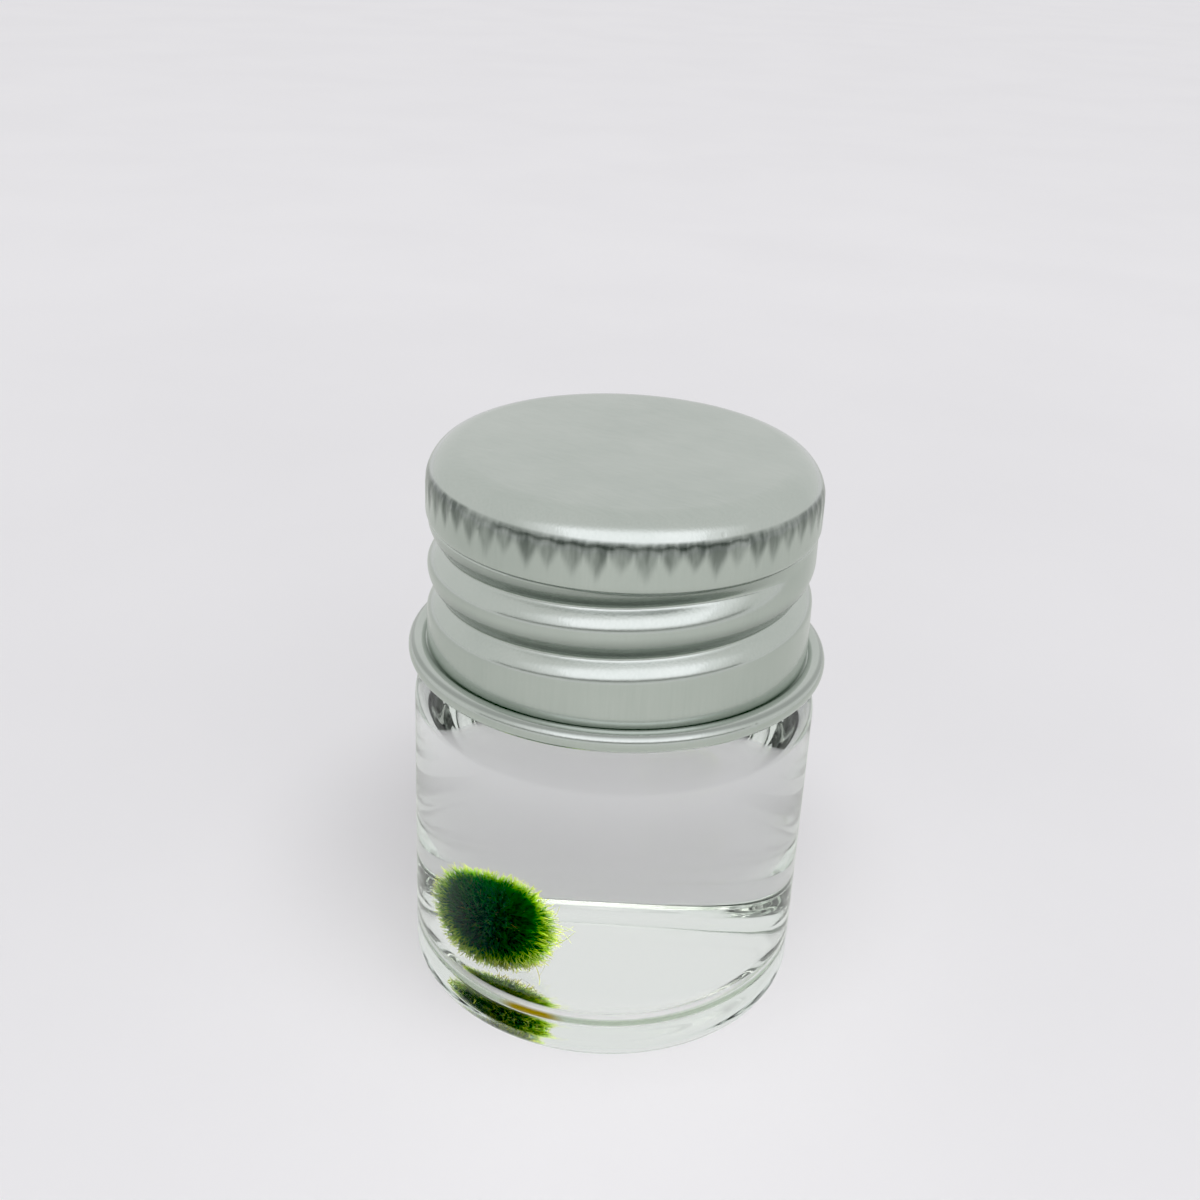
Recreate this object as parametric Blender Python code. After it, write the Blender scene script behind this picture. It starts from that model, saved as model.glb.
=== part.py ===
"""A marimo moss ball in a small glass jar of water with a screwed aluminium cap.

The jar stands on its foot ring at Z = 0 with its axis on Z. Lengths are in metres. The cap is
closed: turned anticlockwise seen from above, it climbs by one thread pitch each turn.
"""

import math

import bmesh
import bpy
from mathutils import Vector

MM = 0.001
GAP = 0.3 * MM

# Glass jar
JAR_SIDES = 40
INNER_SIDES = 32
BODY_RADIUS = 11.0 * MM
WALL = 1.0 * MM
HEEL_RADIUS = 1.4 * MM
FOOT_INNER_RADIUS = 8.3 * MM
PUNT_DEPTH = 0.35 * MM
FLOOR_HEIGHT = 1.2 * MM
INNER_HEEL_RADIUS = 1.6 * MM
SHOULDER_START = 17.0 * MM
SHOULDER_RADIUS = 2.4 * MM
INNER_SHOULDER_START = 16.8 * MM
INNER_SHOULDER_RADIUS = 1.6 * MM
NECK_RADIUS = 9.0 * MM
BORE_RADIUS = 7.5 * MM
RIM_HEIGHT = 29.6 * MM
RIM_ROUNDING = 0.55 * MM

# Screw thread, rolled into the cap and moulded on the neck
PITCH = 2.72 * MM
GROOVE_HEIGHT_IN_FRONT = 24.56 * MM
FRONT = math.radians(270.0)
GROOVE_DEPTH = 0.7 * MM
GROOVE_BELOW = 1.6 * MM
GROOVE_ABOVE = 0.6 * MM
GROOVE_START = math.radians(70.0)
GROOVE_END = math.radians(700.0)
RIDGE_OVER_GROOVE = 1.3 * MM
RIDGE_DEPTH = 0.7 * MM
RIDGE_HALF_WIDTH = 0.55 * MM
RIDGE_START = math.radians(-60.0)
RIDGE_END = math.radians(520.0)
RUN_OUT = math.radians(60.0)

# Cap
FLUTES = 56
CAP_TOP = 31.4 * MM
CAP_RADIUS = 10.4 * MM
CAP_EDGE_RADIUS = 1.9 * MM
CAP_METAL = 0.3 * MM
FLUTE_DEPTH = 0.24 * MM
FLUTE_TOP_ANGLE = math.radians(25.0)
FLUTE_FOOT = 28.35 * MM
KNURL_FOOT = 27.6 * MM
THREAD_WALL_RADIUS = 10.27 * MM
SKIRT_RADIUS = 10.34 * MM
THREAD_WALL_FOOT = 21.7 * MM
CURL_RADIUS = 0.56 * MM
CURL_CENTRE = (10.77 * MM, 20.1 * MM)
CURL_SLIT = 0.12 * MM

# Liner disc in the cap
LINER_RADIUS = 8.9 * MM
LINER_THICKNESS = 0.9 * MM

# Water and the moss ball that rests on the jar's floor
WATER_LEVEL = 24.6 * MM
MOSS_PLACE = (-4.4 * MM, -1.5 * MM)
MOSS_RADIUS = 2.95 * MM
MOSS_STRETCH = 1.05
MOSS_STRETCH_AXIS = Vector((-0.45, 0.1, 0.88)).normalized()
MOSS_STRAYS_TOWARDS = Vector((0.93, -0.1, -0.35)).normalized()
MOSS_STRAYS_REACH = 0.75 * MM


def clear_scene():
    for item in list(bpy.data.objects):
        bpy.data.objects.remove(item)


def make_material(name, colour, roughness, metallic=0.0, transmission=0.0, ior=1.45):
    material = bpy.data.materials.new(name)
    material.use_nodes = True
    shader = material.node_tree.nodes["Principled BSDF"]
    shader.inputs["Base Color"].default_value = (*colour, 1.0)
    shader.inputs["Roughness"].default_value = roughness
    shader.inputs["Metallic"].default_value = metallic
    shader.inputs["Transmission Weight"].default_value = transmission
    shader.inputs["IOR"].default_value = ior
    return material


def make_object(name, bm, material, sharp_angle=math.radians(35.0)):
    """Closes off the bmesh as one object with outward faces and smooth round sides."""
    bmesh.ops.remove_doubles(bm, verts=bm.verts, dist=0.0005 * MM)
    bmesh.ops.recalc_face_normals(bm, faces=bm.faces)
    mesh = bpy.data.meshes.new(name)
    bm.to_mesh(mesh)
    bm.free()
    mesh.shade_smooth()
    mesh.set_sharp_from_angle(angle=sharp_angle)
    mesh.materials.append(material)
    made = bpy.data.objects.new(name, mesh)
    bpy.context.scene.collection.objects.link(made)
    return made


def arc(centre, radius, start_deg, end_deg, steps):
    """Points (r, z) along a round corner of a turned profile."""
    points = []
    for step in range(steps + 1):
        angle = math.radians(start_deg + (end_deg - start_deg) * step / steps)
        points.append((centre[0] + radius * math.cos(angle), centre[1] + radius * math.sin(angle)))
    return points


def turn_profile(bm, points, sides):
    """Spins a profile of (r, z) points about Z. A point on the axis closes the surface there."""
    verts = [bm.verts.new((r, 0.0, z)) for r, z in points]
    edges = [bm.edges.new(pair) for pair in zip(verts, verts[1:])]
    bmesh.ops.spin(bm, geom=verts + edges, cent=(0, 0, 0), axis=(0, 0, 1), steps=sides,
                   angle=math.tau, use_merge=True)


def helix_height(start_height, angle):
    """Height of a right-handed helix that passes the front at start_height."""
    return start_height + PITCH * (angle - FRONT) / math.tau


def run_out(angle, start, end):
    """1 along a thread, falling smoothly to 0 at its two ends."""
    share = min(angle - start, end - angle) / RUN_OUT
    share = min(max(share, 0.0), 1.0)
    return share * share * (3.0 - 2.0 * share)


def thread_share(angle, height, start_height, start, end, below, above):
    """How much of the thread's depth is reached at a point of the wall, from 0 to 1."""
    most = 0.0
    for turn in range(-2, 4):
        along = angle + turn * math.tau
        offset = height - helix_height(start_height, along)
        reach = below if offset < 0 else above
        if abs(offset) < reach:
            form = math.cos(0.5 * math.pi * offset / reach) ** 2
            most = max(most, form * run_out(along, start, end))
    return most


def cap_wall_radius(angle, height):
    """Outer radius of the cap's side between its curl and its knurl."""
    share = (height - THREAD_WALL_FOOT) / (KNURL_FOOT - THREAD_WALL_FOOT)
    plain = SKIRT_RADIUS + (THREAD_WALL_RADIUS - SKIRT_RADIUS) * share
    return plain - GROOVE_DEPTH * thread_share(angle, height, GROOVE_HEIGHT_IN_FRONT, GROOVE_START,
                                               GROOVE_END, GROOVE_BELOW, GROOVE_ABOVE)


def neck_wall_radius(angle, height):
    """Outer radius of the jar's neck with its thread ridge."""
    return NECK_RADIUS + RIDGE_DEPTH * thread_share(
        angle, height, GROOVE_HEIGHT_IN_FRONT + RIDGE_OVER_GROOVE, RIDGE_START, RIDGE_END,
        RIDGE_HALF_WIDTH, RIDGE_HALF_WIDTH)


def threaded_wall(bm, sides, start_height, offsets, low, high, radius_at):
    """A round wall whose rows of faces climb with the thread, cut off level at both ends.

    Rows that pass an end are laid along it, so their faces shrink away there.
    Returns the vertices of the level lower and upper rings.
    """
    snap = 0.12 * MM
    verts = {}

    def vert(column, height):
        if height < low + snap:
            height = low
        elif height > high - snap:
            height = high
        key = (column % sides, round(height / (0.001 * MM)))
        if key not in verts:
            angle = math.tau * (column % sides) / sides
            radius = radius_at(angle, height)
            verts[key] = bm.verts.new((radius * math.cos(angle), radius * math.sin(angle), height))
        return verts[key]

    first = math.floor((low - helix_height(start_height, 0.0)) / PITCH) - 2
    last = math.ceil((high - helix_height(start_height, 0.0)) / PITCH) + 2
    rows = [(turn, offset) for turn in range(first, last) for offset in offsets]
    for column in range(sides):
        for lower, upper in zip(rows, rows[1:]):
            corners = []
            for side, (turn, offset) in ((0, lower), (1, lower), (1, upper), (0, upper)):
                place = turn + (column + side) / sides
                corner = vert(column + side, helix_height(start_height, math.tau * place) + offset)
                if corner not in corners:
                    corners.append(corner)
            if len(corners) > 2:
                bm.faces.new(corners)
    rings = []
    for level in (low, high):
        key = round(level / (0.001 * MM))
        rings.append([verts[(column, key)] for column in range(sides)])
    return rings


def ring(bm, count, radius, height, valley_depth=0.0):
    """A level ring of vertices; every second one can be set in by valley_depth."""
    verts = []
    for number in range(count):
        angle = math.tau * number / count
        reach = radius - valley_depth * (number % 2)
        verts.append(bm.verts.new((reach * math.cos(angle), reach * math.sin(angle), height)))
    return verts


def join_rings(bm, one, other):
    """Faces between two rings of equal number, or of which one has twice as many vertices."""
    if len(one) > len(other):
        one, other = other, one
    count = len(one)
    for number in range(count):
        here, there = one[number], one[(number + 1) % count]
        if len(other) == count:
            bm.faces.new((here, there, other[(number + 1) % count], other[number]))
            continue
        fine = [other[(2 * number + step) % len(other)] for step in range(3)]
        bm.faces.new((here, fine[1], fine[0]))
        bm.faces.new((here, there, fine[1]))
        bm.faces.new((there, fine[2], fine[1]))


def close_ring(bm, verts, height):
    """A shallow fan from a ring to a point on the axis."""
    centre = bm.verts.new((0.0, 0.0, height))
    for number, here in enumerate(verts):
        bm.faces.new((here, verts[(number + 1) % len(verts)], centre))


def join_all(bm, rings):
    for lower, upper in zip(rings, rings[1:]):
        join_rings(bm, lower, upper)


def jar_inner_profile(inset):
    """The jar's inside from the floor's centre to the shoulder's top, set in by a distance."""
    inner = BODY_RADIUS - WALL
    floor = (inner - INNER_HEEL_RADIUS, FLOOR_HEIGHT + INNER_HEEL_RADIUS)
    shoulder = (inner - INNER_SHOULDER_RADIUS, INNER_SHOULDER_START)
    points = [(0.0, FLOOR_HEIGHT + inset)]
    points += arc(floor, INNER_HEEL_RADIUS - inset, -90.0, 0.0, 3)
    points += arc(shoulder, INNER_SHOULDER_RADIUS - inset, 0.0, 90.0, 3)
    points.append((BORE_RADIUS + 0.3 * MM - inset, INNER_SHOULDER_START + 1.85 * MM))
    points.append((BORE_RADIUS - inset, INNER_SHOULDER_START + 2.4 * MM))
    return points


def build_jar(material):
    """Glass: foot ring, punt, heel, straight body, shoulder, threaded neck and rounded rim."""
    bm = bmesh.new()
    neck_foot = SHOULDER_START + SHOULDER_RADIUS + 0.6 * MM
    neck_top = RIM_HEIGHT - RIM_ROUNDING
    heel = (BODY_RADIUS - HEEL_RADIUS, HEEL_RADIUS)
    shoulder = (BODY_RADIUS - SHOULDER_RADIUS, SHOULDER_START)
    outside = [(0.0, PUNT_DEPTH), (0.75 * FOOT_INNER_RADIUS, PUNT_DEPTH), (FOOT_INNER_RADIUS, 0.0)]
    outside += arc(heel, HEEL_RADIUS, -90.0, 0.0, 4)
    outside += arc(shoulder, SHOULDER_RADIUS, 0.0, 76.0, 4)
    outside.append((NECK_RADIUS, neck_foot - 0.25 * MM))
    outside.append((NECK_RADIUS, neck_foot))
    turn_profile(bm, outside, JAR_SIDES)
    offsets = [share * RIDGE_HALF_WIDTH for share in (-1.0, -0.4, 0.4, 1.0)]
    threaded_wall(bm, JAR_SIDES, GROOVE_HEIGHT_IN_FRONT + RIDGE_OVER_GROOVE, offsets, neck_foot,
                  neck_top, neck_wall_radius)
    inside = arc((NECK_RADIUS - RIM_ROUNDING, neck_top), RIM_ROUNDING, 0.0, 90.0, 2)
    inside += arc((BORE_RADIUS + RIM_ROUNDING, neck_top), RIM_ROUNDING, 90.0, 180.0, 2)
    inside += reversed(jar_inner_profile(0.0))
    turn_profile(bm, inside, JAR_SIDES)
    return make_object("jar", bm, material)


def build_cap(material):
    """Aluminium: flat top, rounded edge, flutes, rolled thread, skirt and outward curl."""
    bm = bmesh.new()
    edge = (CAP_RADIUS - CAP_EDGE_RADIUS, CAP_TOP - CAP_EDGE_RADIUS)
    rings = [ring(bm, FLUTES, r, z) for r, z in arc(edge, CAP_EDGE_RADIUS, 90.0, 45.0, 2)]
    close_ring(bm, rings[0], CAP_TOP)
    flute_top = (edge[0] + CAP_EDGE_RADIUS * math.cos(FLUTE_TOP_ANGLE),
                 edge[1] + CAP_EDGE_RADIUS * math.sin(FLUTE_TOP_ANGLE))
    rings.append(ring(bm, 2 * FLUTES, *flute_top))
    rings.append(ring(bm, 2 * FLUTES, CAP_RADIUS - 0.02 * MM, edge[1] + 0.2 * MM, FLUTE_DEPTH))
    rings.append(ring(bm, 2 * FLUTES, CAP_RADIUS, edge[1] - 0.5 * MM, FLUTE_DEPTH))
    rings.append(ring(bm, 2 * FLUTES, CAP_RADIUS, FLUTE_FOOT))
    rings.append(ring(bm, FLUTES, CAP_RADIUS, KNURL_FOOT + 0.4 * MM))
    rings.append(ring(bm, FLUTES, CAP_RADIUS - 0.1 * MM, KNURL_FOOT + 0.12 * MM))
    offsets = (-GROOVE_BELOW, -0.55 * GROOVE_BELOW, -0.2 * GROOVE_BELOW, 0.15 * GROOVE_ABOVE,
               GROOVE_ABOVE)
    foot, top = threaded_wall(bm, FLUTES, GROOVE_HEIGHT_IN_FRONT, offsets, THREAD_WALL_FOOT,
                              KNURL_FOOT, cap_wall_radius)
    rings.append(top)
    join_all(bm, rings)

    slit_wall = SKIRT_RADIUS + CURL_SLIT
    slit_floor = CURL_CENTRE[1] + 0.15 * MM
    slit_angle = math.degrees(math.acos((slit_wall - CURL_CENTRE[0]) / CURL_RADIUS))
    rings = [foot, ring(bm, FLUTES, SKIRT_RADIUS, slit_floor), ring(bm, FLUTES, slit_wall, slit_floor)]
    rings += [ring(bm, FLUTES, r, z) for r, z in arc(CURL_CENTRE, CURL_RADIUS, slit_angle, -160.0, 7)]

    inner_foot, inner_top = threaded_wall(
        bm, FLUTES, GROOVE_HEIGHT_IN_FRONT, offsets, THREAD_WALL_FOOT, KNURL_FOOT,
        lambda angle, height: cap_wall_radius(angle, height) - CAP_METAL)
    rings.append(ring(bm, FLUTES, SKIRT_RADIUS - CAP_METAL, CURL_CENTRE[1] + 0.1 * MM))
    rings.append(inner_foot)
    join_all(bm, rings)
    inner_edge_radius = CAP_EDGE_RADIUS - CAP_METAL
    inner_edge = (edge[0] - 0.2 * MM, edge[1])
    rings = [inner_top]
    rings += [ring(bm, FLUTES, r, z) for r, z in arc(inner_edge, inner_edge_radius, 0.0, 90.0, 2)]
    join_all(bm, rings)
    close_ring(bm, rings[-1], CAP_TOP - CAP_METAL)
    return make_object("cap", bm, material)


def build_liner(material):
    """The soft sealing disc that lies in the cap, over the jar's rim."""
    bm = bmesh.new()
    low = RIM_HEIGHT + GAP
    high = low + LINER_THICKNESS
    bevel = 0.1 * MM
    turn_profile(bm, [(0.0, low), (LINER_RADIUS - bevel, low), (LINER_RADIUS, low + bevel),
                      (LINER_RADIUS, high - bevel), (LINER_RADIUS - bevel, high), (0.0, high)],
                 INNER_SIDES)
    return make_object("cap_liner", bm, material)


def moss_reach(direction, grow=0.0):
    """Distance from the moss ball's centre to the tips of its threads in a direction."""
    lumps = 0.035 * math.sin(5.0 * direction.x + 1.3) * math.cos(4.0 * direction.z - 0.6)
    lumps += 0.03 * math.sin(6.0 * direction.y - 2.0 * direction.z + 0.4)
    along = direction.dot(MOSS_STRETCH_AXIS)
    stretch = 1.0 + (MOSS_STRETCH - 1.0) * (2.0 * along * along - 0.6)
    strays = max(direction.dot(MOSS_STRAYS_TOWARDS), 0.0) ** 6
    return MOSS_RADIUS * (stretch + lumps) + MOSS_STRAYS_REACH * strays + grow


def moss_mesh(grow=0.0):
    """The moss ball's outer form, resting just above the jar's floor."""
    bm = bmesh.new()
    bmesh.ops.create_icosphere(bm, subdivisions=3, radius=1.0)
    for vert in bm.verts:
        direction = vert.co.normalized()
        vert.co = direction * moss_reach(direction)
    lowest = min(vert.co.z for vert in bm.verts)
    for vert in bm.verts:
        direction = vert.co.normalized()
        vert.co += direction * grow
        vert.co += Vector((*MOSS_PLACE, FLOOR_HEIGHT + GAP - lowest))
    return bm


def build_moss(material):
    return make_object("moss_ball", moss_mesh(), material, sharp_angle=math.pi)


def build_water(material, cutter_material):
    """The water, a little clear of the glass, with a pocket round the moss ball open at its foot."""
    bm = bmesh.new()
    profile = jar_inner_profile(GAP)
    profile.append((BORE_RADIUS - GAP, WATER_LEVEL))
    profile.append((0.0, WATER_LEVEL))
    turn_profile(bm, profile, INNER_SIDES)
    water = make_object("water", bm, material)
    pocket = make_object("moss_pocket", moss_mesh(GAP), cutter_material, sharp_angle=math.pi)
    pocket.hide_render = True
    pocket.display_type = "WIRE"
    cut = water.modifiers.new("moss_pocket", "BOOLEAN")
    cut.operation = "DIFFERENCE"
    cut.solver = "EXACT"
    cut.object = pocket
    return water


def main():
    clear_scene()
    glass = make_material("clear_glass", (0.93, 0.97, 0.95), 0.02, transmission=1.0, ior=1.52)
    aluminium = make_material("satin_aluminium", (0.72, 0.75, 0.72), 0.33, metallic=1.0)
    foam = make_material("white_liner", (0.86, 0.87, 0.85), 0.6)
    clear_water = make_material("clear_water", (0.97, 0.99, 0.98), 0.0, transmission=1.0, ior=1.333)
    moss_green = make_material("moss_green", (0.06, 0.17, 0.02), 0.85)
    build_jar(glass)
    build_water(clear_water, moss_green)
    build_moss(moss_green)
    build_liner(foam)
    build_cap(aluminium)


if __name__ == "__main__":
    main()
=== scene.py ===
"""Looks of a green moss ball in a small jar of water with a screwed aluminium cap.

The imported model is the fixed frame. Sizes are in millimetres here and turn into metres where a mesh is made.
"""

import logging
import math
from contextlib import contextmanager
from dataclasses import dataclass
from typing import Any, Callable, Iterator, Sequence

import bpy
import numpy as np
from mathutils import Matrix, Vector

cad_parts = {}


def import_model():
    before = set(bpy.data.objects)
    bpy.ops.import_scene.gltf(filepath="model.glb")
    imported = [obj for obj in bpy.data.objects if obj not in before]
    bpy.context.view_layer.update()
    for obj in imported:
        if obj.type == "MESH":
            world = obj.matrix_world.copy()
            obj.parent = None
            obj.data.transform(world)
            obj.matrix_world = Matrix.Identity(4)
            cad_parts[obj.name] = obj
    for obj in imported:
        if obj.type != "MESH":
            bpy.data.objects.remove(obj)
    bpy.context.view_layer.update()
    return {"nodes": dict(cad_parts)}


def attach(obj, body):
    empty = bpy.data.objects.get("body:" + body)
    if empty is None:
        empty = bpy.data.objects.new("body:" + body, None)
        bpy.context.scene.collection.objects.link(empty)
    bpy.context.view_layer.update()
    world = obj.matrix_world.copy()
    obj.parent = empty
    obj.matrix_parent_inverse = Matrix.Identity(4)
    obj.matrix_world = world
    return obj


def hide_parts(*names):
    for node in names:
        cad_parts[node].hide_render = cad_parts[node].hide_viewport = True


MM = 0.001
FRONT = math.radians(270.0)
LOG = logging.getLogger("moss_jar")

Point = tuple[float, float]
Colour = tuple[float, float, float, float]
Stops = Sequence[tuple[float, Colour]]
Array = np.ndarray
Move = Callable[[Array], Array]
Piece = bpy.types.Object
Socket = bpy.types.NodeSocket
Material = bpy.types.Material


def arc(centre: Point, radius: Point, start: float, end: float, steps: int) -> list[Point]:
    """Lays points on an arc of an ellipse.

    Args:
        centre: radius and height of the arc's centre, in millimetres.
        radius: the arc's half widths along the radius and along the height.
        start: first angle in degrees, 0 outwards and 90 upwards.
        end: last angle in degrees.
        steps: number of stretches between the first and the last point.

    Returns:
        The points from start to end, both included.
    """
    points = []
    for step in range(steps + 1):
        angle = math.radians(start + (end - start) * step / steps)
        points.append((centre[0] + radius[0] * math.cos(angle), centre[1] + radius[1] * math.sin(angle)))
    return points


def line(start: Point, end: Point, steps: int) -> list[Point]:
    """Lays points on a straight line.

    Args:
        start: radius and height of the first point, in millimetres.
        end: radius and height of the last point.
        steps: number of stretches between them.

    Returns:
        The points after start, up to and with end.
    """
    shares = [step / steps for step in range(1, steps + 1)]
    return [(start[0] + (end[0] - start[0]) * s, start[1] + (end[1] - start[1]) * s) for s in shares]


def smooth(share: Array) -> Array:
    """Turns a share from 0 to 1 into an S-shaped one, held at its ends."""
    held = np.clip(share, 0.0, 1.0)
    return held * held * (3.0 - 2.0 * held)


def polar(places: Array) -> tuple[Array, Array]:
    """Gives each place's distance from the upright axis and its angle round it, 0 to a full turn."""
    return np.hypot(places[:, 0], places[:, 1]), np.arctan2(places[:, 1], places[:, 0]) % math.tau


def widen(places: Array, radius: Array, grown: Array) -> Array:
    """Moves places from one distance from the upright axis to another, at the same height."""
    scale = grown / np.maximum(radius, 1e-9)
    return places * np.column_stack((scale, scale, np.ones_like(scale)))


class Bench:
    """Modelling steps that several pieces share, each made with Blender's own operators."""

    @staticmethod
    def clear() -> None:
        """Deselects every object, the frame's nodes among them."""
        bpy.ops.object.select_all(action="DESELECT")

    @staticmethod
    def choose(piece: Piece) -> None:
        """Selects one object alone and makes it the active one."""
        Bench.clear()
        piece.select_set(True)
        bpy.context.view_layer.objects.active = piece

    @staticmethod
    def named(name: str) -> Piece:
        """Names the object that an operator has just added, and its mesh."""
        piece = bpy.context.object
        piece.name = name
        piece.data.name = name
        return piece

    @staticmethod
    def put(name: str, data: bpy.types.ID) -> Piece:
        """Makes an object of a mesh, lamp or camera and puts it in the scene."""
        piece = bpy.data.objects.new(name, data)
        bpy.context.scene.collection.objects.link(piece)
        return piece

    @staticmethod
    @contextmanager
    def editing(kind: str = "VERT") -> Iterator[None]:
        """Opens the active object in edit mode, all of it selected, and closes it again."""
        bpy.ops.object.mode_set(mode="EDIT")
        bpy.ops.mesh.select_mode(type=kind)
        bpy.ops.mesh.select_all(action="SELECT")
        yield
        bpy.ops.object.mode_set(mode="OBJECT")

    @staticmethod
    def turned(name: str, outline: Sequence[Point], steps: int) -> Piece:
        """Turns an outline about the upright axis into a closed round shape.

        Args:
            name: the new object's name.
            outline: radius and height of each point in millimetres, from axis to axis.
            steps: number of faces round the axis.

        Returns:
            The shape, with its faces outwards and its poles closed.
        """
        Bench.clear()
        start = (outline[0][0] * MM, 0.0, outline[0][1] * MM)
        bpy.ops.mesh.primitive_plane_add(size=0.1 * MM, location=start)
        piece = Bench.named(name)
        bpy.ops.object.transform_apply(location=True, rotation=True, scale=True)
        with Bench.editing():
            bpy.ops.mesh.merge(type="CENTER")
            for before, after in zip(outline, outline[1:]):
                move = ((after[0] - before[0]) * MM, 0.0, (after[1] - before[1]) * MM)
                bpy.ops.mesh.extrude_vertices_move(TRANSFORM_OT_translate={"value": move})
            bpy.ops.mesh.select_all(action="SELECT")
            bpy.ops.mesh.spin(steps=steps, angle=math.tau, center=(0.0, 0.0, 0.0), axis=(0.0, 0.0, 1.0))
            bpy.ops.mesh.select_all(action="SELECT")
            bpy.ops.mesh.remove_doubles(threshold=0.0005 * MM)
            bpy.ops.mesh.normals_make_consistent(inside=False)
        return piece

    @staticmethod
    def read(piece: Piece, kind: str = "co") -> Array:
        """Reads the place of each vertex, or with kind "normal" its normal, one row each."""
        flat = np.empty(len(piece.data.vertices) * 3, np.float32)
        piece.data.vertices.foreach_get(kind, flat)
        return flat.reshape(-1, 3)

    @staticmethod
    def reshape(piece: Piece, move: Move) -> None:
        """Moves an object's vertices.

        Args:
            piece: the object.
            move: takes the vertices in millimetres, one row each, and returns their new places.
        """
        moved = move(Bench.read(piece).astype(np.float64) / MM) * MM
        piece.data.vertices.foreach_set("co", moved.astype(np.float32).ravel())
        piece.data.update()

    @staticmethod
    def keep(piece: Piece, **values: Array) -> None:
        """Keeps a value of each name on every vertex, for the finish to read."""
        for name, each in values.items():
            kept = piece.data.attributes.new(name, "FLOAT", "POINT")
            kept.data.foreach_set("value", each.astype(np.float32))

    @staticmethod
    def let_light_in(piece: Piece) -> None:
        """Lets shadow and diffuse rays pass as if the piece weren't there."""
        piece.visible_shadow = False
        piece.visible_diffuse = False

    @staticmethod
    def finish(piece: Piece, material: Material, crease: float) -> None:
        """Shades an object smooth up to an angle and dresses it.

        Args:
            piece: the object.
            material: its finish.
            crease: the angle in degrees past which an edge stays sharp.
        """
        Bench.choose(piece)
        bpy.ops.object.shade_smooth_by_angle(angle=math.radians(crease), keep_sharp_edges=False)
        piece.data.materials.clear()
        piece.data.materials.append(material)


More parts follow.
